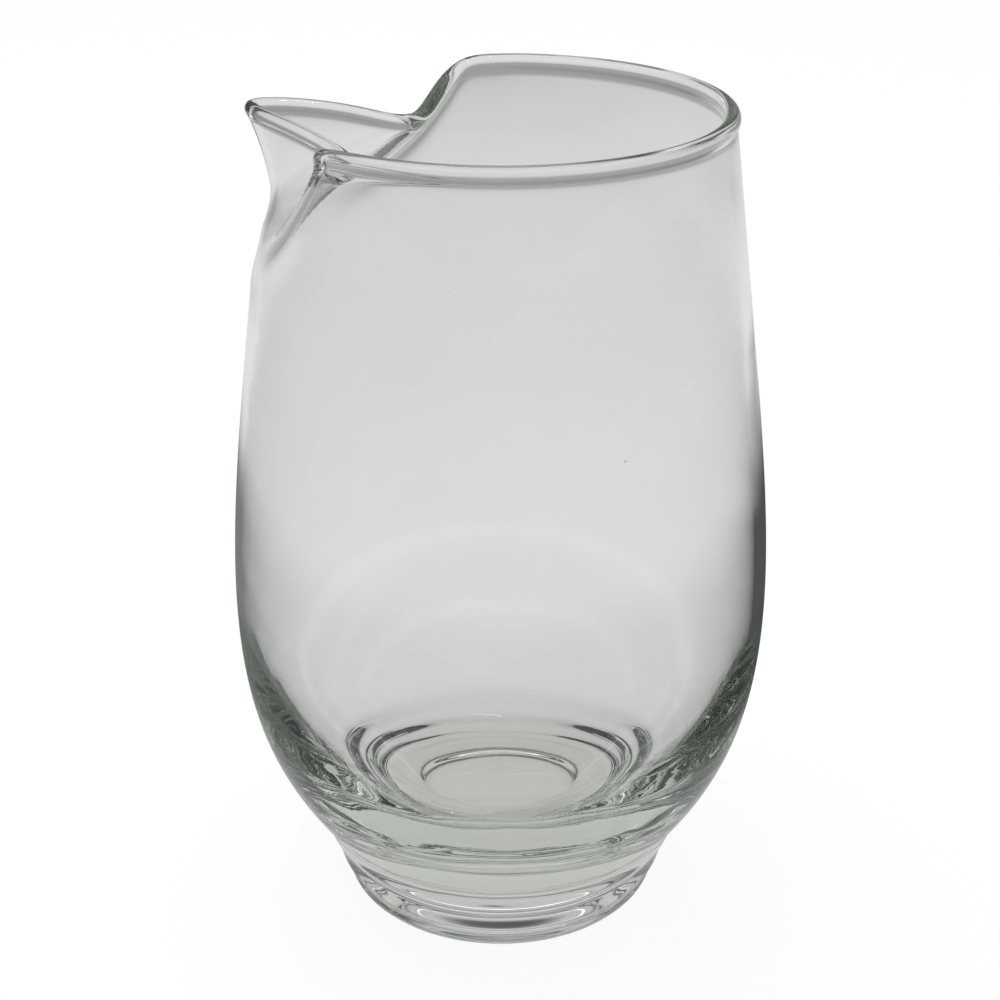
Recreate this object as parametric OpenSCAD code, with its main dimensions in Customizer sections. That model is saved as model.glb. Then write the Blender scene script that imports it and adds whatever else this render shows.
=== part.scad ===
// Cocktail pitcher in clear glass: a stepped foot, a thick base, an egg-shaped barrel
// and a pinched pouring spout with a rounded rim.
// Millimetres. +Z is up, the foot stands on z = 0, the axis is Z and the spout points to -X.

/* [Overall] */
// Height from the table to the top of the rim
overall_h = 165; // [160:1:172]
// Largest outside radius, at the belly
belly_r = 53.4; // [52.4:0.2:55]
// Height of the belly above the table
belly_z = 67; // [64:0.5:70]

/* [Stepped foot] */
// Step in from the heel to the lower edge of the top ring
ring_top_in = 4.1; // [3.4:0.1:4.6]
// Step in from the top ring to the middle ring, at their lower edges
ring_mid_in = 2.2; // [1.8:0.1:2.6]
// Step in from the middle ring to the lowest ring, at their lower edges
ring_low_in = 1.8; // [1.4:0.1:2.2]
// Height of the lowest ring
ring_low_h = 4.8; // [4.4:0.1:5.4]
// Height of the middle ring
ring_mid_h = 6.6; // [6:0.1:7.2]
// Height of the top ring, up to the cove under the heel
ring_top_h = 5.6; // [5.2:0.1:6.2]
// Radius gained per millimetre of height on the flanks of the two lower rings
ring_draft_share = 0.1; // [0.04:0.01:0.14]
// Rounding of a ring's lower edge
ring_edge_r = 0.9; // [0.6:0.1:1]
// Rounding of the cove between a ring and the ring above it
ring_cove_r = 0.4; // [0.3:0.1:0.5]
// Flat band that the foot stands on, with its rounded edge
foot_band = 9.1; // [8.3:0.2:10.1]
// Depth of the hollow under the foot
hollow_depth = 2.4; // [1.6:0.1:3]
// Width of the soft slope round the hollow
hollow_slope = 10; // [8:0.5:11]

/* [Thick base] */
// Step in from the belly to the barrel's heel, above the top ring
heel_in = 12.2; // [11.4:0.1:12.8]
// Step in from the heel to the upper edge of the top ring
cove_in = 2.6; // [2.2:0.1:3]
// Height of the cove between the top ring and the heel
heel_cove_h = 3.8; // [3.4:0.1:4.4]
// Length of the top ring's pull on the cove
cove_low_pull = 2; // [1.6:0.1:2.4]
// Length of the heel's pull on the cove
cove_high_pull = 1.7; // [1.3:0.1:2]
// Lean of the barrel wall at the heel, from upright
heel_lean = 34; // [31:0.5:36]
// Length of the heel's pull on the outline
heel_pull = 14.5; // [13:0.5:16]
// Length of the belly's pull on the outline below it
belly_low_pull = 21.4; // [20:0.2:22.6]
// Distance in from the heel to the core of the base, which fills the top ring
core_in = 10.2; // [9.8:0.1:10.8]
// Height of the inside floor above the lower edge of the top ring, at the axis
floor_over = 2.6; // [2:0.2:3.4]
// Rise of the floor from the axis to its edge
floor_rise = 0.8; // [0.6:0.1:1.2]
// Distance in from the heel at which the floor turns up into the wall
floor_in = 23.2; // [22.6:0.2:24.6]
// Length of the floor's pull on the inside outline
floor_pull = 8; // [7:0.5:9]
// Length of the belly's pull on the inside outline
bowl_pull = 34; // [32:0.5:36]

/* [Barrel] */
// Wall at the belly, measured level
belly_wall = 1.8; // [1.5:0.1:2.2]
// Wall where the straight taper starts, measured level
taper_wall = 1.9; // [1.6:0.1:2.3]
// Wall under the rim, measured level
rim_wall = 2; // [1.7:0.1:2.3]
// Step in from the belly to the wall where the straight taper starts
taper_in = 4.1; // [3.4:0.1:4.6]
// Height of the straight taper below the foot of the spout
taper_lead = 8; // [6:0.5:10]
// Step in from the belly to the wall under the rim
rim_in = 10.5; // [9.8:0.1:11]
// Length of the belly's pull on the outline above it
belly_high_pull = 13.6; // [12.6:0.2:14.6]
// Length of the taper's pull on the outline
taper_pull = 17.4; // [16.4:0.2:18.4]

/* [Pinched spout] */
// Height of the spout, from where the wall leaves the round up to the wall's top
spout_h = 40; // [38:0.5:42]
// Height over which the round blends into the spout
spout_blend_h = 14; // [12:0.5:16]
// Half angle of the mouth that the spout takes up
spout_half_angle = 70; // [69:0.5:74]
// Depth below the wall's top of the crease where the pinched shoulders leave the barrel
crease_drop = 21; // [20:0.5:22]
// Angle from the nose at which the crease reaches the rim
crease_angle = 57.5; // [56.5:0.5:58.5]
// Power by which the crease climbs towards the rim
crease_power = 3.7; // [3.4:0.1:4]
// Inward run of a shoulder for each share of height above the crease
pinch_share = 1.55; // [1.45:0.05:1.65]
// Rounding band between the barrel and a shoulder
pinch_round = 12.5; // [11.5:0.5:13.5]
// Distance of the spout's spine outside the rim's wall, below its flare
spine_out = 2.6; // [2.1:0.1:3]
// Tuck of the spine into the barrel per millimetre below its flare
spine_tuck_share = 0.3; // [0.25:0.01:0.35]
// Outward flare of the spine at the lip
spine_flare = 4.8; // [4.4:0.2:5.2]
// Height over which the spine flares
flare_h = 20.5; // [19.5:0.5:21.5]
// Rounding radius of the spout's nose at the lip, in plan
nose_r = 2.7; // [2.5:0.1:3]
// Radius that the nose gains from the lip down to the foot of the flare
nose_widen = 5; // [4:0.5:7]
// Run along the spout's flank for each share of half width
flank_share = 2.85; // [2.75:0.05:2.95]
// Rounding band between the spout and a shoulder
throat_round = 10; // [9:0.2:11]
// Wall of the spout, measured square to it
spout_wall = 1.7; // [1.5:0.1:1.9]
// Drop of the lip below the rim at the nose
nose_drop = 2.5; // [2:0.1:3.2]
// Drop of the lip below the rim at the throat
throat_drop = 7.1; // [6.5:0.1:7.7]
// Angle from the nose to the throat
throat_angle = 36.5; // [35:0.5:38]
// Angle from the nose at which the rim is level again
level_angle = 66.5; // [65:0.5:67.5]

/* [Rim bead] */
// Width of the rounded bead along the rim
bead_w = 3; // [2.8:0.1:3.3]
// Half height of the bead's oval
bead_half_h = 1.75; // [1.6:0.05:1.9]
// Share of the bead's height that is left along the spout's lip
lip_bead_share = 0.85; // [0.7:0.05:1]

/* [Hidden] */
$fn = 96;
// Points on a drawn curve, on a rounded edge and over the bead
curve_steps = 16;
edge_steps = 5;
bead_steps = 10;
// Outside and inside curve points at which the thick base ends and the wall above it begins
base_steps = 6;
wall_steps = 6;
// Points across the dished floor, up the cove under the heel and on the slope round the hollow
floor_steps = 4;
cove_steps = 6;
slope_steps = 8;
// Share of the slope's width that each of its ends pulls level
slope_pull_share = 0.5;
// Columns across half of the spout and rows up it
half_columns = 36;
spout_rows = 20;
// Share of the columns that is spread evenly; the rest crowds towards the nose
even_share = 0.62;
// Share of the rows that is spread evenly; the rest crowds towards the lip
row_share = 0.6;
// Steps used for slopes on the spout's surface
angle_step = 0.2;
rise_share = 0.004;
full_turn = 360;
half_turn = 180;
right_angle = 90;
// Share of the rounding band that a blend takes off
band_share = 0.25;
glass_tint = [0.80, 0.86, 0.84, 0.45];

ring_mid_z = ring_low_h;
ring_top_z = ring_mid_z + ring_mid_h;
cove_z = ring_top_z + ring_top_h;
heel_z = cove_z + heel_cove_h;
bead_sink = bead_half_h * sqrt(1 - pow(rim_wall / bead_w, 2));
wall_top_z = overall_h - bead_half_h - bead_sink;
spout_z = wall_top_z - spout_h;
crease_z = wall_top_z - crease_drop;
taper_z = spout_z - taper_lead;
floor_z = ring_top_z + floor_over;
heel_r = belly_r - heel_in;
ring_top_r = heel_r - ring_top_in;
cove_r = heel_r - cove_in;
// Lean of the top ring's flank, from upright
flank_lean = atan((cove_r - ring_top_r) / (ring_top_h - ring_edge_r));
ring_mid_r = ring_top_r - ring_mid_in;
ring_low_r = ring_mid_r - ring_low_in;
hollow_r = ring_low_r - foot_band - hollow_slope;
core_r = heel_r - core_in;
floor_r = heel_r - floor_in;
// Slope of the dished floor at its edge
floor_slope = 2 * floor_rise / floor_r;
taper_r = belly_r - taper_in;
rim_r = belly_r - rim_in;
spine_s = rim_r + spine_out;
taper_slope = (taper_r - rim_r) / (wall_top_z - taper_z);
inner_belly_r = belly_r - belly_wall;
lip_z = wall_top_z - nose_drop;
flare_z = lip_z - flare_h;

// A point on a cubic curve with two end points and two pull points
function curve_at(a, b, c, d, t) =
    pow(1 - t, 3) * a + 3 * pow(1 - t, 2) * t * b + 3 * (1 - t) * pow(t, 2) * c + pow(t, 3) * d;
function curve(a, b, c, d, steps = curve_steps) = [for (i = [0 : steps]) curve_at(a, b, c, d, i / steps)];
// A rounded lower edge that ends upright at x
function low_edge(x, z, r) = [
    for (i = [0 : edge_steps])
        let (a = right_angle * i / edge_steps)
        [x - r + r * sin(a), z + r - r * cos(a)]
];
// A cove from an upright flank at x to a level ledge at z
function cove(x, z, r) = [
    for (i = [0 : edge_steps])
        let (a = right_angle * i / edge_steps)
        [x + r - r * cos(a), z - r + r * sin(a)]
];
// Smooth lesser and greater of two distances
function blend(a, b, band) = band_share * band * pow(max(band - abs(a - b), 0) / band, 2);
function soft_min(a, b, band) = min(a, b) - blend(a, b, band);
function soft_max(a, b, band) = max(a, b) + blend(a, b, band);
function ease(t) = let (u = min(max(t, 0), 1)) u * u * (3 - 2 * u);
// Outside and inside radius of the straight taper
function taper_at(z) = taper_r - taper_slope * (z - taper_z);
function taper_wall_at(z) = taper_wall + (rim_wall - taper_wall) * (z - taper_z) / (wall_top_z - taper_z);

// Outside outline from the heel to the belly, and from the belly to the taper
function outer_low() = curve(
    [heel_r, heel_z],
    [heel_r + heel_pull * sin(heel_lean), heel_z + heel_pull * cos(heel_lean)],
    [belly_r, belly_z - belly_low_pull],
    [belly_r, belly_z]
);
function outer_high() = curve(
    [belly_r, belly_z],
    [belly_r, belly_z + belly_high_pull],
    [taper_at(taper_z - taper_pull), taper_z - taper_pull],
    [taper_r, taper_z]
);
// Cove from the top ring's flank out to the heel
function heel_cove() = curve(
    [cove_r, cove_z],
    [cove_r + cove_low_pull * sin(flank_lean), cove_z + cove_low_pull * cos(flank_lean)],
    [heel_r - cove_high_pull * sin(heel_lean), heel_z - cove_high_pull * cos(heel_lean)],
    [heel_r, heel_z],
    cove_steps
);
// Soft slope round the hollow under the foot
function hollow_side() = curve(
    [hollow_r, hollow_depth],
    [hollow_r + slope_pull_share * hollow_slope, hollow_depth],
    [hollow_r + (1 - slope_pull_share) * hollow_slope, 0],
    [hollow_r + hollow_slope, 0],
    slope_steps
);
// Inside outline from the belly down to the floor's edge, and from the taper down to the belly
function inner_low() = curve(
    [inner_belly_r, belly_z],
    [inner_belly_r, belly_z - bowl_pull],
    [floor_r + floor_pull, floor_z + floor_rise + floor_slope * floor_pull],
    [floor_r, floor_z + floor_rise]
);
function inner_high() = curve(
    [taper_r - taper_wall, taper_z],
    [taper_at(taper_z - taper_pull) - taper_wall, taper_z - taper_pull],
    [inner_belly_r, belly_z + belly_high_pull],
    [inner_belly_r, belly_z]
);

// Dished floor from its edge to the axis
function floor_dish() = [
    for (i = [1 : floor_steps])
        let (q = 1 - i / floor_steps)
        [floor_r * q, floor_z + floor_rise * q * q]
];

// Drop of the rim line at an angle from the nose
function rim_drop(a) =
    abs(a) < throat_angle
        ? nose_drop + (throat_drop - nose_drop) * (1 - cos(half_turn * a / throat_angle)) / 2
        : abs(a) < level_angle
            ? throat_drop * (1 + cos(half_turn * (abs(a) - throat_angle) / (level_angle - throat_angle))) / 2
            : 0;
// Distance from the axis to the pinched shoulders, to the spout's spine and to its flanks
function crease_at(a) = crease_z + (wall_top_z - crease_z) * pow(abs(a) / crease_angle, crease_power);
function shoulder_at(a, z) = taper_at(z) - pinch_share * (z - crease_at(a));
function spine_at(z) =
    spine_s
    + spine_flare * pow(max(z - flare_z, 0) / flare_h, 2)
    - spine_tuck_share * max(flare_z - z, 0);
function flank_at(a, z) =
    let (
        s = spine_at(z),
        below = min((lip_z - z) / flare_h, 1),
        nose_run = (nose_r + nose_widen * below * below) * pow(flank_share, 2),
        far = (s + nose_run) * cos(a),
        open = pow(cos(a), 2) - pow(flank_share * sin(a), 2),
        reach = s * s + 2 * s * nose_run
    )
    reach / (far + sqrt(far * far - open * reach));
// Outside radius of the spout at an angle from the nose and a height
function spout_radius(a, z) =
    let (
        round_r = taper_at(z),
        pinched = soft_min(round_r, shoulder_at(a, z), pinch_round),
        spouted = soft_max(pinched, flank_at(a, z), throat_round)
    )
    round_r + (spouted - round_r) * ease((z - spout_z) / spout_blend_h);
function level_at(a, k) = spout_z + (wall_top_z - rim_drop(a) - spout_z) * k;
function skin(a, k) =
    let (
        z = level_at(a, k),
        r = spout_radius(a, z)
    )
    [-r * cos(a), -r * sin(a), z];
// Outward direction of the skin, scaled so that one wall's depth is measured square to it
function skin_out(a, k) =
    let (
        n = cross(
            skin(a + angle_step, k) - skin(a - angle_step, k),
            skin(a, k + rise_share) - skin(a, k - rise_share)
        ),
        u = n / norm(n)
    )
    [u[0], u[1], 0] / (u[0] * u[0] + u[1] * u[1]);
// Wall depth goes from the neck's at the ends of the spout to the spout's own
function depth_at(a, k) =
    let (
        z = level_at(a, k),
        tilt = cos(atan(taper_slope)),
        own = ease((z - spout_z) / spout_blend_h) * ease((level_angle - abs(a)) / (level_angle - throat_angle))
    )
    taper_wall_at(z) * tilt + (spout_wall - taper_wall_at(z) * tilt) * own;
function lining(a, k) = skin(a, k) - skin_out(a, k) * depth_at(a, k);
function column_angle(j) =
    let (q = j / half_columns)
    spout_half_angle * (even_share * q + (1 - even_share) * pow(q, 3));
function row_level(i) =
    let (q = i / spout_rows)
    row_share * q + (1 - row_share) * (1 - pow(1 - q, 2));
columns = 2 * half_columns;

// Triangles of a grid of points whose rows close round and whose columns are capped at both ends
function grid_sides(rows, across) = [
    for (i = [0 : rows - 1], j = [0 : across - 1], h = [0, 1])
        let (
            p = i + j * rows,
            q = (i + 1) % rows + j * rows
        )
        h == 0 ? [p, q, p + rows] : [q, q + rows, p + rows]
];
function grid_caps(rows, across) = [
    [for (i = [rows - 1 : -1 : 0]) i],
    [for (i = [0 : rows - 1]) i + across * rows],
];

module glass() {
    color(glass_tint)
        children();
}

// Outside of a lower ring of the foot: rounded below, leaning out, with a cove under the ledge above
function ring_side(r, z, h) = concat(
    low_edge(r, z, ring_edge_r),
    cove(r + ring_draft_share * (h - ring_cove_r), z + h, ring_cove_r)
);

// Lowest ring, with the shallow hollow under it
module foot_low_ring() {
    glass()
        rotate_extrude()
            polygon(concat(
                [[0, hollow_depth]],
                hollow_side(),
                ring_side(ring_low_r, 0, ring_low_h),
                [[0, ring_low_h]]
            ));
}

module foot_mid_ring() {
    glass()
        rotate_extrude()
            polygon(concat(
                [[0, ring_mid_z]],
                ring_side(ring_mid_r, ring_mid_z, ring_mid_h),
                [[0, ring_top_z]]
            ));
}

// Top ring, which goes round the core of the thick base
module foot_top_ring() {
    glass()
        rotate_extrude()
            polygon(concat(
                [[core_r, ring_top_z]],
                low_edge(ring_top_r, ring_top_z, ring_edge_r),
                [[cove_r, cove_z], [core_r, cove_z]]
            ));
}

// Thick base: the core inside the top ring, the cove under the heel, the heel and the dished floor
module thick_base() {
    glass()
        rotate_extrude()
            polygon(concat(
                [[0, ring_top_z], [core_r, ring_top_z], [core_r, cove_z]],
                heel_cove(),
                [for (i = [1 : base_steps]) outer_low()[i]],
                [for (i = [wall_steps : curve_steps]) inner_low()[i]],
                floor_dish()
            ));
}

// Lower half of the barrel, from the thick base up to the belly
module bowl_wall() {
    glass()
        rotate_extrude()
            polygon(concat(
                [for (i = [base_steps : curve_steps]) outer_low()[i]],
                [for (i = [0 : wall_steps]) inner_low()[i]]
            ));
}

// Upper half of the barrel, from the belly into the straight taper
module barrel_wall() {
    glass()
        rotate_extrude()
            polygon(concat(
                outer_high(),
                [[taper_at(spout_z), spout_z], [taper_at(spout_z) - taper_wall_at(spout_z), spout_z]],
                inner_high()
            ));
}

// Round part of the wall under the rim
module neck_wall() {
    glass()
        rotate([0, 0, spout_half_angle - half_turn])
            rotate_extrude(angle = full_turn - 2 * spout_half_angle)
                polygon([
                    [taper_at(spout_z), spout_z],
                    [rim_r, wall_top_z],
                    [rim_r - rim_wall, wall_top_z],
                    [taper_at(spout_z) - taper_wall_at(spout_z), spout_z],
                ]);
}

// Pinched spout: two leaning shoulders, a beak between them and a lip that dips at the throat
module pouring_spout() {
    rows = 2 * (spout_rows + 1);
    points = [
        for (j = [-half_columns : half_columns], i = [0 : rows - 1])
            let (a = column_angle(j))
            i <= spout_rows ? skin(a, row_level(i)) : lining(a, row_level(rows - 1 - i))
    ];
    glass()
        polyhedron(
            points = points,
            faces = concat(grid_sides(rows, columns), grid_caps(rows, columns))
        );
}

// Oval bead over a wall top: places across it in half widths, and heights above it
bead_sweep = half_turn + 2 * acos(rim_wall / bead_w);
function bead_turn(i) = bead_sweep * i / bead_steps - acos(rim_wall / bead_w);
function bead_place(i) = bead_w / rim_wall * cos(bead_turn(i));
function bead_rise(i) = bead_sink + bead_half_h * sin(bead_turn(i));

module rim_bead() {
    middle_r = rim_r - rim_wall / 2;
    glass()
        rotate([0, 0, spout_half_angle - half_turn])
            rotate_extrude(angle = full_turn - 2 * spout_half_angle)
                polygon([
                    for (i = [0 : bead_steps])
                        [middle_r + rim_wall / 2 * bead_place(i), wall_top_z + bead_rise(i)]
                ]);
}

// The same bead carried along the spout's lip, where it is drawn out thinner
function bead_share(a) = 1 - (1 - lip_bead_share) * ease((level_angle - abs(a)) / (level_angle - throat_angle));

module lip_bead() {
    rows = bead_steps + 1;
    points = [
        for (j = [-half_columns : half_columns], i = [0 : bead_steps])
            let (
                a = column_angle(j),
                out = skin(a, 1),
                in = lining(a, 1)
            )
            (out + in) / 2 + (out - in) / 2 * bead_place(i) + [0, 0, bead_rise(i) * bead_share(a)]
    ];
    glass()
        polyhedron(
            points = points,
            faces = concat(grid_sides(rows, columns), grid_caps(rows, columns))
        );
}

foot_low_ring();
foot_mid_ring();
foot_top_ring();
thick_base();
bowl_wall();
barrel_wall();
neck_wall();
pouring_spout();
rim_bead();
lip_bead();
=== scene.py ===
# %% [markdown]
# # A clear glass pitcher with a pinched spout
# The pitcher is one piece of clear glass: a stepped foot, a thick base, an egg-shaped barrel and a
# spout that was pinched and pulled while the rim was soft. The solid model comes first, as a fixed frame.

# %% Load the solid model
import math

import bmesh
import bpy
from mathutils import Matrix, Vector, noise
from mathutils.geometry import interpolate_bezier


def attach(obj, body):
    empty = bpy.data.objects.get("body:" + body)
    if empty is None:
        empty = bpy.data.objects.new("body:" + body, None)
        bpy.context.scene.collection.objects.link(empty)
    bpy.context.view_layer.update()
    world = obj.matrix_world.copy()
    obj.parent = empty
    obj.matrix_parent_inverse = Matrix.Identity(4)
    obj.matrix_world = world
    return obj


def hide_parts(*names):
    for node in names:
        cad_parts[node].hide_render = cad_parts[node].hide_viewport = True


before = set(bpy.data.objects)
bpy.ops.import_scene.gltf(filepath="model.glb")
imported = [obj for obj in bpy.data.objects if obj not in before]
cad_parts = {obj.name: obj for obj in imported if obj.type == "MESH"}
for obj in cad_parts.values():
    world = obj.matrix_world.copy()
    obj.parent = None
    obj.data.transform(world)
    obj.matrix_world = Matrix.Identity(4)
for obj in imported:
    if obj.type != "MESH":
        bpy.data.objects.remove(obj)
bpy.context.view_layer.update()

MM = 0.001
scene = bpy.context.scene
glass_nodes = sorted(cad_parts)
print("solids:", ", ".join(glass_nodes))

# %% [markdown]
# ## The half section
# A turned form needs one drawing: the outline of the glass on one side of its axis. It could be a
# curve with a Screw modifier, but points on a mesh are easier to mark, and each point here is marked
# with the wall that it belongs to, so that the spout can be pulled out of the round later. Lengths
# are in millimetres, as on a maker's drawing, and the curves are the solid model's own.

# %% Sizes of the outline
overall_h, belly_r, belly_z = 165.0, 53.4, 67.0
# Radius, lower edge and height of the two low rings of the foot
low_rings = [(33.1, 0.0, 4.8), (34.9, 4.8, 6.6)]
ring_draft, ring_edge, ring_cove = 0.1, 0.9, 0.4
ring_top_r, ring_top_z, cove_r, cove_z = 37.1, 11.4, 38.6, 17.0
hollow_r, hollow_slope, hollow_depth = 14.0, 10.0, 2.4
heel_r, heel_z, heel_lean = 41.2, 20.8, math.radians(34)
cove_low_pull, cove_high_pull = 2.0, 1.7
heel_pull, belly_low_pull = 14.5, 21.4
floor_z, floor_rise, floor_r, floor_pull, bowl_pull = 14.0, 0.8, 18.0, 8.0, 34.0
belly_wall, taper_wall, rim_wall = 1.8, 1.9, 2.0
taper_r, rim_r, belly_high_pull, taper_pull = 49.3, 42.9, 13.6, 17.4
bead_w, bead_half_h, lip_bead_share = 3.0, 1.75, 0.85
bead_sink = bead_half_h * math.sqrt(1 - (rim_wall / bead_w) ** 2)
wall_top = overall_h - bead_half_h - bead_sink
spout_h, crease_drop, taper_h = 40.0, 21.0, 48.0
spout_z, crease_z, taper_z = wall_top - spout_h, wall_top - crease_drop, wall_top - taper_h
taper_slope = (taper_r - rim_r) / (wall_top - taper_z)
print("wall's top at", round(wall_top, 2), "mm, spout's foot at", round(spout_z, 2), "mm")


def taper_at(z):
    """Outside radius of the tapered wall at a height."""
    return taper_r - taper_slope * (z - taper_z)


def taper_wall_at(z):
    """Thickness of the tapered wall at a height."""
    return taper_wall + (rim_wall - taper_wall) * (z - taper_z) / (wall_top - taper_z)


# %% Ways to draw
OUTSIDE, SKIN, BEAD, LINING, INSIDE = range(5)
outline = []


def mark(wall, points, share=0.0):
    """Adds points to the outline, each with its wall and its share of the way along that wall."""
    for r, z in points:
        outline.append((wall, r, z, share))


def straight(a, b, steps):
    """Points along a straight line, without its start."""
    return [
        (a[0] + (b[0] - a[0]) * i / steps, a[1] + (b[1] - a[1]) * i / steps)
        for i in range(1, steps + 1)
    ]


def drawn(a, b, c, d, points):
    """A curve from a to d that starts towards b and arrives from c."""
    knots = [Vector((p[0], p[1], 0)) for p in (a, b, c, d)]
    return [(p.x, p.y) for p in interpolate_bezier(*knots, points)]


def low_edge(x, z, r, steps=8):
    """The rounded lower edge of a ring."""
    turns = [math.pi / 2 * i / steps for i in range(steps + 1)]
    return [(x - r + r * math.sin(t), z + r - r * math.cos(t)) for t in turns]


def cove(x, z, r, steps=6):
    """The small hollow where a ring meets the one above."""
    turns = [math.pi / 2 * i / steps for i in range(steps + 1)]
    return [(x + r - r * math.cos(t), z - r + r * math.sin(t)) for t in turns]


# %% [markdown]
# ## The stepped foot
# The foot's three rings were cut sharp in the mould, but a polishing flame went round them
# afterwards and the steps ran soft. A Bevel modifier would round each edge by one radius. A flame
# rounds whatever stands out and fills whatever lies deep, so the drawn line is walked in even steps
# and each point is moved towards its neighbours a few times, which does the same.

# %% Soften a line
foot_step, foot_rounds = 0.5, 8


def evenly(points, step):
    """The same line with its points a fixed step apart."""
    walked, left = [points[0]], step
    for a, b in zip(points, points[1:]):
        while math.dist(a, b) >= left:
            share = left / math.dist(a, b)
            a = (a[0] + (b[0] - a[0]) * share, a[1] + (b[1] - a[1]) * share)
            walked.append(a)
            left = step
        left -= math.dist(a, b)
    return walked + [points[-1]]


def softened(points, rounds):
    """The same line with its corners run soft. Its two ends stay."""
    for _ in range(rounds):
        trios = zip(points, points[1:], points[2:])
        inner = [tuple((p + 2 * q + s) / 4 for p, q, s in zip(a, b, c)) for a, b, c in trios]
        points = [points[0]] + inner + [points[-1]]
    return points


# %% Underside and foot
hollow_steps, slope_points, cove_points = 4, 22, 12
hollow_middle, hollow_edge = (0.0, hollow_depth), (hollow_r, hollow_depth)
mark(OUTSIDE, [hollow_middle] + straight(hollow_middle, hollow_edge, hollow_steps))
slope_mid, slope_end = hollow_r + hollow_slope / 2, hollow_r + hollow_slope
slope_knees = (slope_mid, hollow_depth), (slope_mid, 0.0)
mark(OUTSIDE, drawn(hollow_edge, *slope_knees, (slope_end, 0.0), slope_points)[1:])
foot_line = [outline[-1][1:3]]
for r, z, h in low_rings:
    foot_line += low_edge(r, z, ring_edge)
    foot_line += cove(r + ring_draft * (h - ring_cove), z + h, ring_cove)
foot_line += low_edge(ring_top_r, ring_top_z, ring_edge)
flank = math.atan2(cove_r - foot_line[-1][0], cove_z - foot_line[-1][1])
cove_knee = (cove_r + cove_low_pull * math.sin(flank), cove_z + cove_low_pull * math.cos(flank))
heel_foot = (heel_r - cove_high_pull * math.sin(heel_lean), heel_z - cove_high_pull * math.cos(heel_lean))
foot_line.append((cove_r, cove_z))
foot_line += drawn((cove_r, cove_z), cove_knee, heel_foot, (heel_r, heel_z), cove_points)[1:]
mark(OUTSIDE, softened(evenly(foot_line, foot_step), foot_rounds)[1:])
print(len(outline), "points from the axis to the heel")

# %% [markdown]
# ## The barrel, the rim and the inside
# The barrel is an egg: a heel that leans out, an upright belly and a straight taper to the rim. Two
# curves with their handles upright at the belly join there without a kink. The rim was melted round
# in the flame, so it is an oval bead a little wider than the wall. The inside follows the outside
# down to the belly and then sweeps in to a dished floor, which leaves the base thick.

# %% Outside of the barrel
heel_points, taper_points, taper_steps = 32, 22, 3
heel_knee = (heel_r + heel_pull * math.sin(heel_lean), heel_z + heel_pull * math.cos(heel_lean))
belly, belly_low_knee = (belly_r, belly_z), (belly_r, belly_z - belly_low_pull)
mark(OUTSIDE, drawn((heel_r, heel_z), heel_knee, belly_low_knee, belly, heel_points)[1:])
belly_high_knee = (belly_r, belly_z + belly_high_pull)
taper_knee = (taper_at(taper_z - taper_pull), taper_z - taper_pull)
mark(OUTSIDE, drawn(belly, belly_high_knee, taper_knee, (taper_r, taper_z), taper_points)[1:])
mark(OUTSIDE, straight((taper_r, taper_z), (taper_at(spout_z), spout_z), taper_steps)[:-1])
print(len(outline), "points from under the foot to the spout's height")

# %% Rim and inside
wall_steps, bead_steps, bowl_points, floor_steps = 32, 18, 44, 12
even_rows_share = 0.6
wall_rows = [
    even_rows_share * q + (1 - even_rows_share) * (1 - (1 - q) ** 2)
    for q in (i / wall_steps for i in range(wall_steps + 1))
]
for k in wall_rows:
    z = spout_z + (wall_top - spout_z) * k
    mark(SKIN, [(taper_at(z), z)], k)
bead_start = -math.acos(rim_wall / bead_w)
for i in range(1, bead_steps):
    swing = bead_start + (math.pi - 2 * bead_start) * i / bead_steps
    place, rise = bead_w / rim_wall * math.cos(swing), bead_sink + bead_half_h * math.sin(swing)
    mark(BEAD, [(rim_r - rim_wall / 2 + rim_wall / 2 * place, wall_top + rise)], swing)
for k in reversed(wall_rows):
    z = spout_z + (wall_top - spout_z) * k
    mark(LINING, [(taper_at(z) - taper_wall_at(z), z)], k)
inner_taper = (taper_r - taper_wall, taper_z)
inner_spout = (taper_at(spout_z) - taper_wall_at(spout_z), spout_z)
mark(INSIDE, straight(inner_spout, inner_taper, taper_steps))
inner_r = belly_r - belly_wall
inner_knees = (taper_knee[0] - taper_wall, taper_knee[1]), (inner_r, belly_z + belly_high_pull)
mark(INSIDE, drawn(inner_taper, *inner_knees, (inner_r, belly_z), taper_points)[1:])
floor_edge = (floor_r, floor_z + floor_rise)
floor_knee = (floor_r + floor_pull, floor_edge[1] + floor_pull * 2 * floor_rise / floor_r)
bowl_knee = (inner_r, belly_z - bowl_pull)
mark(INSIDE, drawn((inner_r, belly_z), bowl_knee, floor_knee, floor_edge, bowl_points)[1:])
for i in range(1, floor_steps + 1):
    share = 1 - i / floor_steps
    mark(INSIDE, [(floor_r * share, floor_z + floor_rise * share ** 2)])
print(len(outline), "points round the half section")

# %% [markdown]
# ## Turning the glass
# Spin carries the outline round the axis and makes all the faces, as a turned mould makes the blank.
# Custom layers on the points go round with them, so every new point still knows its wall.

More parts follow.
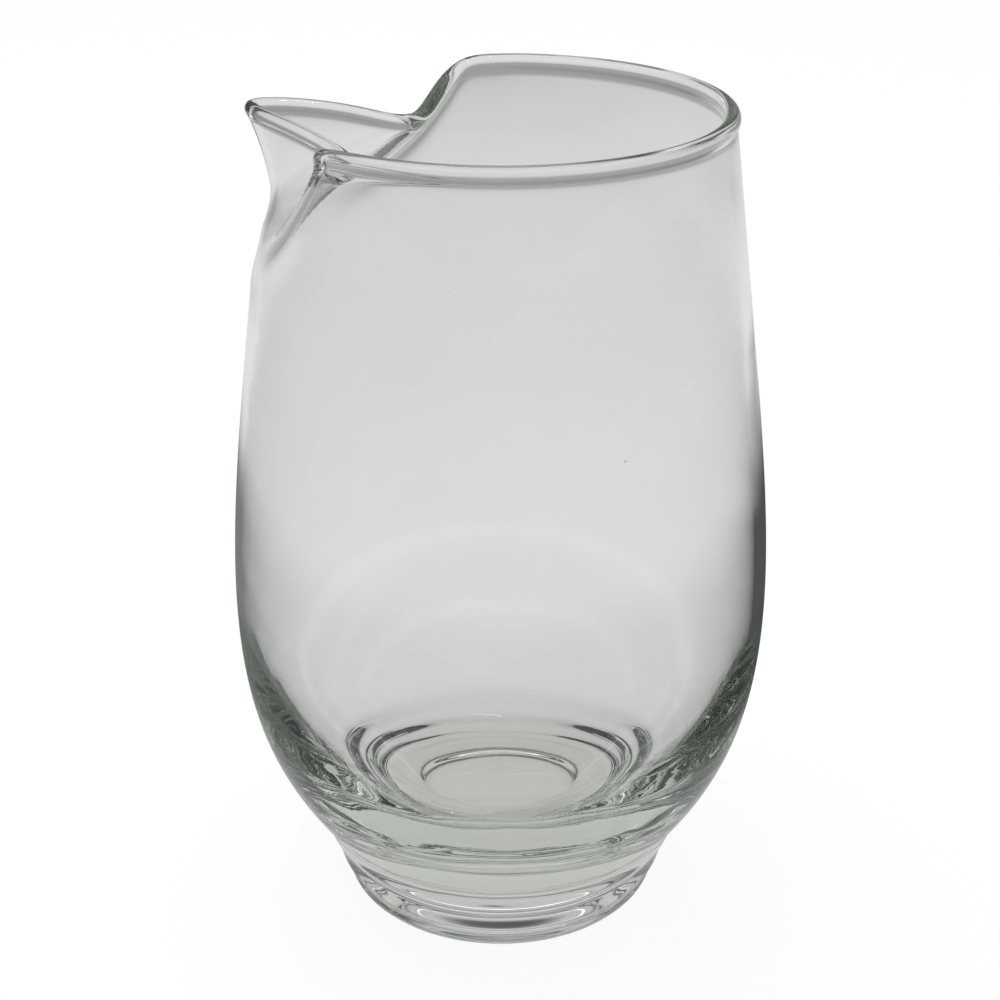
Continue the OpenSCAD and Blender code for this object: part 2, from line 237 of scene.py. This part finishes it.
# %% Spin the outline
columns, merge_gap = 300, 0.00001
bm = bmesh.new()
wall_of = bm.verts.layers.int.new("wall")
share_of = bm.verts.layers.float.new("share")
chain = []
for wall, r, z, share in outline:
    v = bm.verts.new((r * MM, 0, z * MM))
    v[wall_of], v[share_of] = wall, share
    chain.append(v)
edges = [bm.edges.new(pair) for pair in zip(chain, chain[1:])]
bmesh.ops.spin(
    bm, geom=chain + edges, cent=(0, 0, 0), axis=(0, 0, 1), dvec=(0, 0, 0),
    angle=2 * math.pi, steps=columns, use_merge=True, use_duplicate=False,
)
bmesh.ops.remove_doubles(bm, verts=bm.verts, dist=merge_gap)
bmesh.ops.recalc_face_normals(bm, faces=bm.faces)
open_edges = sum(len(e.link_faces) != 2 for e in bm.edges)
print(len(bm.verts), "points,", len(bm.faces), "faces,", open_edges, "open edges")

# %% [markdown]
# ## Pinching the spout
# On the real pitcher the soft rim was pinched from both sides and the beak pulled out between the
# pinches. A sculpted lattice could do that by eye. Moving each marked point by a rule keeps the beak
# on the solid model: two shoulders lean in above a crease, a pointed nose stands out between them,
# and the lip dips at the throat. The columns crowd towards the nose, where the bend is tightest.

# %% Sizes and rules of the spout
half_angle, crease_angle, crease_power, pinch_share, pinch_round = 70.0, 57.5, 3.7, 1.55, 12.5
spine_out, spine_tuck, spine_flare, flare_h = 2.6, 0.3, 4.8, 20.5
nose_r, nose_widen, flank_share, throat_round = 2.7, 5.0, 2.85, 10.0
spout_wall, spout_blend, nose_drop, throat_drop = 1.7, 14.0, 2.5, 7.1
throat_angle, level_angle, even_columns_share = 36.5, 66.5, 0.5
spine_s, lip_z = rim_r + spine_out, wall_top - nose_drop
flare_z = lip_z - flare_h


def ease(t):
    """A soft start and a soft stop between 0 and 1."""
    t = min(max(t, 0.0), 1.0)
    return t * t * (3 - 2 * t)


def band(a, b, width):
    """What rounds the corner where two surfaces cross."""
    return 0.25 * width * (max(width - abs(a - b), 0) / width) ** 2


def rim_drop(a):
    """How far the lip lies under the rim's level, at an angle from the nose."""
    a = abs(a)
    if a < throat_angle:
        return nose_drop + (throat_drop - nose_drop) * (1 - math.cos(math.pi * a / throat_angle)) / 2
    if a < level_angle:
        return throat_drop * (1 + math.cos(math.pi * (a - throat_angle) / (level_angle - throat_angle))) / 2
    return 0.0


def flank_at(a, z):
    """Radius of the nose, whose section is a hyperbola with a small round tip."""
    s = spine_s + spine_flare * (max(z - flare_z, 0) / flare_h) ** 2 - spine_tuck * max(flare_z - z, 0)
    below = min((lip_z - z) / flare_h, 1)
    run = (nose_r + nose_widen * below ** 2) * flank_share ** 2
    c, n = math.cos(math.radians(a)), math.sin(math.radians(a))
    far, reach = (s + run) * c, s * s + 2 * s * run
    return reach / (far + math.sqrt(far * far - (c * c - (flank_share * n) ** 2) * reach))


def spout_radius(a, z):
    """Outside radius of the neck and the spout, at an angle from the nose and a height."""
    round_r = taper_at(z)
    if abs(a) >= half_angle:
        return round_r
    crease = crease_z + (wall_top - crease_z) * (abs(a) / crease_angle) ** crease_power
    shoulder = round_r - pinch_share * (z - crease)
    pinched = min(round_r, shoulder) - band(round_r, shoulder, pinch_round)
    flank = flank_at(a, z)
    spouted = max(pinched, flank) + band(pinched, flank, throat_round)
    return round_r + (spouted - round_r) * ease((z - spout_z) / spout_blend)


# %% Both faces of the spout's wall
probe_angle, probe_share = 0.2, 0.004
swell_h = 0.6


def skin(a, k):
    """A point outside, at an angle from the nose and a share of the way up to the lip."""
    z = spout_z + (wall_top - rim_drop(a) - spout_z) * k
    r = spout_radius(a, z)
    return Vector((-r * math.cos(math.radians(a)), -r * math.sin(math.radians(a)), z))


def lip_share(a):
    """1 along the spout's lip and 0 on the round rim, at an angle from the nose."""
    return ease((level_angle - abs(a)) / (level_angle - throat_angle))


def lining(a, k):
    """The point inside that faces it, one wall further in at the same height."""
    along = skin(a + probe_angle, k) - skin(a - probe_angle, k)
    out = along.cross(skin(a, k + probe_share) - skin(a, k - probe_share)).normalized()
    here = skin(a, k)
    own = ease((here.z - spout_z) / spout_blend) * lip_share(a)
    wall = taper_wall_at(here.z) * math.cos(math.atan(taper_slope))
    wall += (spout_wall - wall) * own
    return here - Vector((out.x, out.y, 0)) / (out.x ** 2 + out.y ** 2) * wall


def swelling(rise):
    """How much thicker the soft rim is than the wall, at a height above the wall's top."""
    return 1 + (bead_w / rim_wall - 1) * ease((rise + swell_h) / (swell_h + bead_sink))


# %% Move the marked points
axis_gap = 0.01
moved = 0
edge_cache = {}
for v in bm.verts:
    r = math.hypot(v.co.x, v.co.y) / MM
    if r < axis_gap:
        continue
    a = math.degrees(math.atan2(-v.co.y, -v.co.x))
    if abs(a) < half_angle:
        q = abs(a) / half_angle
        a = math.copysign(half_angle * (even_columns_share * q + (1 - even_columns_share) * q ** 3), a)
    wall, share = v[wall_of], v[share_of]
    if wall in (SKIN, LINING):
        spot = skin(a, share) if wall == SKIN else lining(a, share)
        rise = (share - 1) * (wall_top - rim_drop(a) - spout_z)
        if rise > -swell_h:
            out, inn = skin(a, share), lining(a, share)
            spot = (out + inn) / 2 + (out - inn) / 2 * swelling(rise) * (1 if wall == SKIN else -1)
    elif wall == BEAD:
        key = round(a, 4)
        if key not in edge_cache:
            edge_cache[key] = (skin(a, 1), lining(a, 1))
        out, inn = edge_cache[key]
        lift = 1 - (1 - lip_bead_share) * lip_share(a)
        rise = (bead_sink + bead_half_h * math.sin(share)) * lift
        wide = bead_w / rim_wall * math.cos(share)
        if math.sin(share) < 0:
            wide = math.copysign(swelling(bead_sink + bead_half_h * math.sin(share)), wide)
        spot = (out + inn) / 2 + (out - inn) / 2 * wide + Vector((0, 0, rise))
    else:
        spot = Vector((-r * math.cos(math.radians(a)), -r * math.sin(math.radians(a)), v.co.z / MM))
    v.co = spot * MM
    moved += wall in (SKIN, LINING, BEAD)
print(moved, "points of the neck, spout and rim placed")

# %% [markdown]
# ## Rounding the knuckles
# Where the pinch turns back into the round rim, the tool left a knuckle on each side, and the flame
# rounded it. The rule above makes the knuckle tight. A larger rounding in the rule would also blunt
# the beak, so only the points near the knuckles are smoothed. The smoothing fades out at the borders
# of that part, because a hard border would show in the glass as a dent.

# %% Round the knuckles
knuckle_from, knuckle_fade_in = 16, 18
knuckle_to, knuckle_fade_out = 80, 12
knuckle_low, knuckle_fade_up = 2, 9
knuckle_rounds, knuckle_pull = 8, 0.5
all_ways = {"use_axis_x": True, "use_axis_y": True, "use_axis_z": True}
knuckles = {}
for v in bm.verts:
    a, z = abs(math.degrees(math.atan2(-v.co.y, -v.co.x))), v.co.z / MM
    fade = ease((a - knuckle_from) / knuckle_fade_in) * ease((knuckle_to - a) / knuckle_fade_out)
    fade *= ease((z - spout_z - knuckle_low) / knuckle_fade_up)
    if v[wall_of] in (SKIN, BEAD, LINING) and fade > 0:
        knuckles[v] = (v.co.copy(), fade)
for _ in range(knuckle_rounds):
    bmesh.ops.smooth_vert(bm, verts=list(knuckles), factor=knuckle_pull, **all_ways)
for v, (before, fade) in knuckles.items():
    v.co = before.lerp(v.co, fade)
print(len(knuckles), "points rounded")

# %% [markdown]
# ## The inside of blown glass
# Only the outside touched the mould. The inside was shaped by air, so the wall is a little thinner on
# one side than on the other, and the thick base flows in slow waves. Shifting the inside points by a
# few tenths of a millimetre, and waving them by about one tenth, is enough: the light bends at the
# real shape, which a painted pattern can't copy.

# %% Uneven inside
thin_turn, thin_shift = math.radians(18), 0.35
thin_low, thin_fade_up, thin_high, thin_fade_down = 26, 20, 128, 30
base_high, base_fade, base_middle = 58, 30, 12
twist, wave_down = 0.045, 1.2
slow_size, slow_tall, slow_depth, slow_base_depth = 16, 24, 0.03, 0.12
fine_size, fine_tall, fine_depth, fine_place = 5.5, 30, 0.004, Vector((7, 3, 1))
thin_side = Vector((-math.cos(thin_turn), -math.sin(thin_turn), 0))
waved = 0
for v in bm.verts:
    if v[wall_of] not in (LINING, INSIDE):
        continue
    z = v.co.z / MM
    off_centre = thin_shift * ease((z - thin_low) / thin_fade_up) * ease((thin_high - z) / thin_fade_down)
    low = ease((base_high - z) / base_fade) * ease(math.hypot(v.co.x, v.co.y) / MM / base_middle)
    turned = Matrix.Rotation(z * twist, 3, "Z") @ (v.co / MM)
    slow = noise.noise(Vector((turned.x / slow_size, turned.y / slow_size, z / slow_tall)))
    fine = noise.noise(Vector((turned.x / fine_size, turned.y / fine_size, z / fine_tall)) + fine_place)
    wave = slow * (slow_depth + slow_base_depth * low) + fine * fine_depth * low
    out = Vector((v.co.x, v.co.y, 0)).normalized()
    lean = Vector((out.x, out.y, -wave_down * low)).normalized()
    v.co += (thin_side * off_centre + lean * wave) * MM
    waved += 1
print(waved, "points of the inside moved")

# %% [markdown]
# ## Waves from the mould
# An iron mould chills the first glass that touches it, and the skin of the foot and the heel sets in
# faint waves. A bump in the material is lost when the meshes are used alone, so the points move
# instead, by about two hundredths of a millimetre and mostly inwards. They move sideways only, so the
# ring that the pitcher stands on stays flat.

# %% Faint waves from the mould
plain_r, chill_high, chill_fade = 26, 46, 24
chill_size, chill_squash, chill_depth, chill_inwards = 6.5, 2.2, 0.022, 0.5
chilled = 0
for v in bm.verts:
    if v[wall_of] != OUTSIDE or math.hypot(v.co.x, v.co.y) / MM < plain_r:
        continue
    low = ease((chill_high - v.co.z / MM) / chill_fade)
    wave = noise.noise(Vector((v.co.x, v.co.y, chill_squash * v.co.z)) / MM / chill_size)
    out = Vector((v.co.x, v.co.y, 0)).normalized()
    v.co -= out * (chill_inwards + wave) * chill_depth * low * MM
    chilled += low > 0
print(chilled, "points of the foot and heel moved")

# %% [markdown]
# ## One piece of glass
# The solid model has ten pieces that meet face to face, and light would show every join. The real
# pitcher has none, so the finished glass is one closed skin that stands for all ten.

# %% Make the pitcher
bmesh.ops.recalc_face_normals(bm, faces=bm.faces)
for f in bm.faces:
    f.smooth = True
glass_mesh = bpy.data.meshes.new("pitcher_glass")
volume = bm.calc_volume(signed=True)
bm.to_mesh(glass_mesh)
bm.free()
pitcher = bpy.data.objects.new("pitcher_glass", glass_mesh)
scene.collection.objects.link(pitcher)
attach(pitcher, "root")
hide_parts(*glass_nodes)
print("glass volume", round(volume * 1e6, 1), "cm3,", len(glass_mesh.polygons), "faces")

# %% [markdown]
# ## Short ways to add nodes
# A material is a chain of nodes. Added one at a time, each takes several lines, so a few helpers
# add a node, set its inputs and link them in one go. An input that is given as another node's output
# is linked, and a plain number or colour is set on the socket itself.


# %% Node helpers
def add_node(tree, kind, inputs=None, **settings):
    """A new node with its settings; an input given as a socket is linked, any other is set."""
    new = tree.nodes.new(kind)
    for name, value in settings.items():
        setattr(new, name, value)
    for name, value in (inputs or {}).items():
        if isinstance(value, bpy.types.NodeSocket):
            tree.links.new(value, new.inputs[name])
        else:
            new.inputs[name].default_value = value
    return new


def maths(tree, operation, *values):
    """The result of a sum on one, two or three values."""
    return add_node(tree, "ShaderNodeMath", dict(enumerate(values)), operation=operation).outputs[0]


def bounced(tree, depth):
    """1 for light that has bounced in this way at least once, and 0 for other light."""
    return maths(tree, "GREATER_THAN", depth, 0.5)


def smooth_step(tree, value, start, end):
    """0 at the start, 1 at the end, and a soft change between them."""
    ends = {"Value": value, "From Min": start, "From Max": end}
    return add_node(tree, "ShaderNodeMapRange", ends, interpolation_type="SMOOTHSTEP").outputs[0]


def blend(tree, share, a, b):
    """The colour a where the share is 0, and b where it is 1."""
    ends = {"Factor": share, "A": a, "B": b}
    return add_node(tree, "ShaderNodeMix", ends, data_type="RGBA").outputs["Result"]


def grey(level):
    return (level, level, level, 1)


# %% [markdown]
# ## Clear glass
# Soda-lime glass is almost colourless across a thin wall and grey-green along it. A tinted surface
# would be the same shade everywhere, so the tint is an absorption inside the glass, which grows with
# the length of the light's way.

# %% Glass and its tint
glass_tint, tint_density = (0.85, 0.885, 0.84, 1), 14.0
glass = bpy.data.materials.new("clear_glass")
glass.use_nodes = True
tree = glass.node_tree
surface = tree.nodes["Principled BSDF"]
surface.inputs["IOR"].default_value = 1.52
surface.inputs["Transmission Weight"].default_value = 1.0
tint = add_node(tree, "ShaderNodeVolumeAbsorption", {"Color": glass_tint, "Density": tint_density})
tree.links.new(tint.outputs["Volume"], tree.nodes["Material Output"].inputs["Volume"])
where = add_node(tree, "ShaderNodeTexCoord").outputs["Object"]
height = add_node(tree, "ShaderNodeSeparateXYZ", {0: where}).outputs["Z"]
glass_mesh.materials.append(glass)
print("glass bends light by", round(surface.inputs["IOR"].default_value, 2))

# %% [markdown]
# ## Streaks in the skin
# The gather was turned on the iron, which leaves streaks that lean round the heel, and the mould
# leaves a faint unevenness all over. Both are a few thousandths of a millimetre deep, too fine for
# the mesh, so a Bump node carries them. The streaks are a noise that is stretched upwards and turned
# more and more with height.

# %% Streaks and unevenness
streak_turn, streak_fineness = 34.0, (210.0, 210.0, 22.0)
streak_high, streak_high_fade, streak_low, streak_low_fade = 0.062, 0.034, 0.010, 0.020
wave_share, bump_height = 0.12, 0.000006
lean = maths(tree, "MULTIPLY", height, streak_turn)
leaning = {"Vector": where, "Angle": lean}
turned = add_node(tree, "ShaderNodeVectorRotate", leaning, rotation_type="Z_AXIS")
stretched = add_node(tree, "ShaderNodeMapping", {"Vector": turned.outputs[0], "Scale": streak_fineness})
streak_look = {"Scale": 1.0, "Detail": 2.0}
streaks = add_node(tree, "ShaderNodeTexNoise", {"Vector": stretched.outputs[0], **streak_look})
under_belly = smooth_step(tree, height, streak_high, streak_high_fade)
over_foot = smooth_step(tree, height, streak_low, streak_low_fade)
in_heel = maths(tree, "MULTIPLY", under_belly, over_foot)
heel_streaks = maths(tree, "MULTIPLY", streaks.outputs[0], in_heel)
waves = add_node(tree, "ShaderNodeTexNoise", {"Vector": where, "Scale": 55.0, "Detail": 1.0})
skin_height = maths(tree, "MULTIPLY_ADD", waves.outputs[0], wave_share, heel_streaks)
bump = add_node(tree, "ShaderNodeBump", {"Height": skin_height, "Strength": 1.0, "Distance": bump_height})
tree.links.new(bump.outputs[0], surface.inputs["Normal"])
print("streaks and waves up to", round(bump_height / MM, 4), "mm deep")

# %% [markdown]
# ## Film and dust
# A glass that was washed and dried by hand keeps a trace of film, and a few specks of dust settle on
# it. The film is a cloudy noise that takes a little off the clearness. The specks are the middles
# of a few Voronoi cells, picked by the cell's own random colour: scattered, small and round.

# %% Film and dust
haze_start, haze_full, haze_roughness = 0.56, 0.80, 0.004
haze_look = {"Scale": 38.0, "Detail": 5.0, "Roughness": 0.62}
film_colour, clear_colour, dust_colour = (0.98, 0.982, 0.98, 1), grey(1.0), grey(0.22)
speck_edge, speck_middle, speck_pick, speck_pick_end = 0.026, 0.014, 0.78, 0.80
haze = add_node(tree, "ShaderNodeTexNoise", {"Vector": where, **haze_look})
smear = smooth_step(tree, haze.outputs[0], haze_start, haze_full)
tree.links.new(maths(tree, "MULTIPLY", smear, haze_roughness), surface.inputs["Roughness"])
clouds = add_node(tree, "ShaderNodeTexNoise", {"Vector": where, "Scale": 110.0, "Detail": 4.0})
film = blend(tree, clouds.outputs[0], film_colour, clear_colour)
cells = add_node(tree, "ShaderNodeTexVoronoi", {"Vector": where, "Scale": 55.0})
cell_number = add_node(tree, "ShaderNodeSeparateColor", {0: cells.outputs["Color"]}).outputs[0]
near_middle = smooth_step(tree, cells.outputs["Distance"], speck_edge, speck_middle)
picked = smooth_step(tree, cell_number, speck_pick, speck_pick_end)
dusty = blend(tree, maths(tree, "MULTIPLY", near_middle, picked), film, dust_colour)
tree.links.new(dusty, surface.inputs["Base Color"])
print("glass nodes:", len(tree.nodes))

# %% [markdown]
# ## The floor
# Clear glass shows its surroundings, so they are made as a photographer makes them. The floor is pale
# paper. Looked at directly it is white and keeps the pitcher's shadow. Seen through the glass it is
# paper in the pitcher's own shade near the foot, light grey further out and darker far off. Light
# that was reflected at or inside the glass finds a ring of dark card, darker on the right, like the
# black cards that are set beside glass so that its edges are drawn. Real cards could stand round the
# pitcher, but they would also darken the shadow and the paper seen straight through. The Light Path
# node tells these kinds of light apart.

# %% Directions of the picture
picture_turn = math.radians(18)
to_right = Vector((math.cos(picture_turn), math.sin(picture_turn), 0))
to_eye = Vector((math.sin(picture_turn), -math.cos(picture_turn), 0))


def reach_along(tree, place, direction):
    """How far a place lies along a direction."""
    both = {0: place, 1: direction}
    return add_node(tree, "ShaderNodeVectorMath", both, operation="DOT_PRODUCT").outputs["Value"]


print("the picture is taken from", [round(x, 3) for x in to_eye])

# %% Sheet of the floor
paper_r, paper_sides, paper_gap = 3.0, 96, 0.0002
floor_mesh = bpy.data.meshes.new("studio_floor")
bm = bmesh.new()
bmesh.ops.create_circle(bm, cap_ends=True, cap_tris=True, segments=paper_sides, radius=paper_r)
bmesh.ops.translate(bm, verts=bm.verts, vec=(0, 0, -paper_gap))
bm.to_mesh(floor_mesh)
bm.free()
studio_floor = bpy.data.objects.new("studio_floor", floor_mesh)
scene.collection.objects.link(studio_floor)
print("paper", 2 * paper_r, "m across")

# %% Shades of the paper
shade_colour, paper_colour, far_colour = (0.54, 0.55, 0.525, 1), (0.75, 0.755, 0.752, 1), grey(0.36)
shade_end, paper_start, far_start, far_end = 0.02, 0.07, 0.40, 1.2
card_left, card_right = (0.19, 0.198, 0.193, 1), (0.075, 0.08, 0.077, 1)
card_inner, card_inner_fade, card_outer, card_outer_fade = 0.035, 0.11, 0.34, 0.22
card_left_end, card_right_start = -0.06, 0.08
paper = bpy.data.materials.new("studio_paper")
paper.use_nodes = True
tree = paper.node_tree
tree.nodes.clear()
path = add_node(tree, "ShaderNodeLightPath").outputs
where = add_node(tree, "ShaderNodeTexCoord").outputs["Object"]
away = add_node(tree, "ShaderNodeVectorMath", {0: where}, operation="LENGTH").outputs["Value"]
near_paper = blend(tree, smooth_step(tree, away, shade_end, paper_start), shade_colour, paper_colour)
all_paper = blend(tree, smooth_step(tree, away, far_start, far_end), near_paper, far_colour)
aside = reach_along(tree, where, to_right)
dark_card = blend(tree, smooth_step(tree, aside, card_left_end, card_right_start), card_left, card_right)
past_inner = smooth_step(tree, away, card_inner, card_inner_fade)
before_outer = smooth_step(tree, away, card_outer, card_outer_fade)
card_ring = maths(tree, "MULTIPLY", past_inner, before_outer)
on_card = maths(tree, "MULTIPLY", card_ring, bounced(tree, path["Glossy Depth"]))
seen = blend(tree, path["Is Camera Ray"], blend(tree, on_card, all_paper, dark_card), grey(1))
print("paper nodes so far:", len(tree.nodes))

# %% Paper that glows and keeps a shadow
matt_colour, white_share = grey(0.85), 0.93
glow = add_node(tree, "ShaderNodeEmission", {"Color": seen})
matt = add_node(tree, "ShaderNodeBsdfDiffuse", {"Color": matt_colour})
through = maths(tree, "MAXIMUM", path["Is Transmission Ray"], path["Is Glossy Ray"])
white = maths(tree, "MULTIPLY", path["Is Camera Ray"], white_share)
glow_share = maths(tree, "MAXIMUM", through, white)
mixed = add_node(tree, "ShaderNodeMixShader", {0: glow_share, 1: matt.outputs[0], 2: glow.outputs[0]})
add_node(tree, "ShaderNodeOutputMaterial", {"Surface": mixed.outputs[0]})
floor_mesh.materials.append(paper)
print("paper nodes:", len(tree.nodes))

# %% [markdown]
# ## The room's light
# Straight through the glass the room is a dome of soft greys. Light that was reflected inside the
# glass finds dark side walls, darker on the right, and a light back wall with one bright slat, which
# draws the bright line on the foot. The paper is lit by one plain grey, and the camera sees white.
# A picture of a room could do this, but a few blended greys keep the lines in the glass calm.

# %% Dome and walls
dome_stops = [(0.0, 0.36), (0.14, 0.32), (0.32, 0.26), (0.62, 0.24), (0.85, 0.5)]
wall_left, wall_right, wall_turn = (0.085, 0.09, 0.087, 1), (0.03, 0.033, 0.031, 1), 0.3
back_side, back_middle, back_low, back_full = 0.46, 0.70, 0.03, 0.20
back_colour, slat_colour, slat_up, slat_edge, slat_middle = grey(0.62), grey(1.7), 0.38, 0.030, 0.012
world = bpy.data.worlds.new("studio")
scene.world = world
world.use_nodes = True
tree = world.node_tree
path = add_node(tree, "ShaderNodeLightPath").outputs
where = add_node(tree, "ShaderNodeTexCoord").outputs["Generated"]
up = add_node(tree, "ShaderNodeSeparateXYZ", {0: where}).outputs["Z"]
dome = add_node(tree, "ShaderNodeValToRGB", {0: up})
while len(dome.color_ramp.elements) < len(dome_stops):
    dome.color_ramp.elements.new(0.5)
for stop, (place, level) in zip(dome.color_ramp.elements, dome_stops):
    stop.position, stop.color = place, grey(level)
aside = reach_along(tree, where, to_right)
side_wall = blend(tree, smooth_step(tree, aside, -wall_turn, wall_turn), wall_left, wall_right)
from_slat = maths(tree, "ABSOLUTE", maths(tree, "SUBTRACT", up, slat_up))
slatted = blend(tree, smooth_step(tree, from_slat, slat_edge, slat_middle), back_colour, slat_colour)
facing = smooth_step(tree, reach_along(tree, where, -to_eye), back_side, back_middle)
behind = maths(tree, "MULTIPLY", facing, smooth_step(tree, up, back_low, back_full))
walls = blend(tree, behind, side_wall, slatted)
print("dome of", len(dome_stops), "greys")

# %% Which light sees which
plain_light = grey(0.74)
was_inside = bounced(tree, path["Transmission Depth"])
inside_light = maths(tree, "MULTIPLY", bounced(tree, path["Glossy Depth"]), was_inside)
around = blend(tree, inside_light, dome.outputs["Color"], walls)
plain = blend(tree, path["Is Diffuse Ray"], around, plain_light)
seen = blend(tree, path["Is Camera Ray"], plain, grey(1))
tree.links.new(seen, tree.nodes["Background"].inputs["Color"])
print("room nodes:", len(tree.nodes))

# %% [markdown]
# ## Lamps
# One large soft box overhead gives the shadow its soft edge. It is hidden from the glass, where it
# would show as a white square. A row of nine small lamps over the mouth is seen in the glass, and
# draws the small dotted glints on the rim.

# %% Lamps
lamp_aim = Vector((0, 0, 0.08))
soft_place = (-0.25, 0.2, 1.1)
row_count, row_gap, row_aside, row_near, row_high = 9, 0.0125, 0.045, 0.03, 0.56


def lamp(name, place, size, watts):
    """A square lamp that faces the middle of the pitcher."""
    data = bpy.data.lights.new(name, "AREA")
    data.size, data.energy = size, watts
    made = bpy.data.objects.new(name, data)
    made.location = place
    made.rotation_euler = (lamp_aim - Vector(place)).to_track_quat("-Z", "Y").to_euler()
    scene.collection.objects.link(made)
    return made


soft = lamp("soft_box", soft_place, size=0.9, watts=9.0)
soft.visible_glossy = soft.visible_transmission = soft.visible_camera = False
for i in range(row_count):
    along_row = row_aside + (i - (row_count - 1) / 2) * row_gap
    place = to_right * along_row + to_eye * row_near + Vector((0, 0, row_high))
    lamp(f"small_lamp_{i}", place, size=0.006, watts=0.014)

# %% [markdown]
# ## Camera
# The camera looks from the side, with the spout on the left, and down into the mouth. Its place
# and lens were found by laying the pitcher's outline over the picture until the two agreed.
# Light runs a long way inside a glass wall before it leaves at the rim, so the number of bounces is
# raised: with too few, the rim and the folds of the spout turn black.

# %% Camera
rise, reach, aim = math.radians(25.7326), 0.368487, Vector((0, 0, 0.085243))
camera = bpy.data.objects.new("camera", bpy.data.cameras.new("camera"))
camera.data.lens = 66.406
camera.data.shift_x = -0.0006
camera.data.clip_start = 0.01
eye = aim + reach * (to_eye * math.cos(rise) + Vector((0, 0, math.sin(rise))))
camera.location = eye
camera.rotation_euler = (aim - eye).to_track_quat("-Z", "Y").to_euler()
scene.collection.objects.link(camera)
scene.camera = camera
scene.view_settings.view_transform = "Standard"
scene.cycles.max_bounces = 128
scene.cycles.transmission_bounces = 64
scene.cycles.glossy_bounces = 128
print("camera at", [round(x, 3) for x in eye])
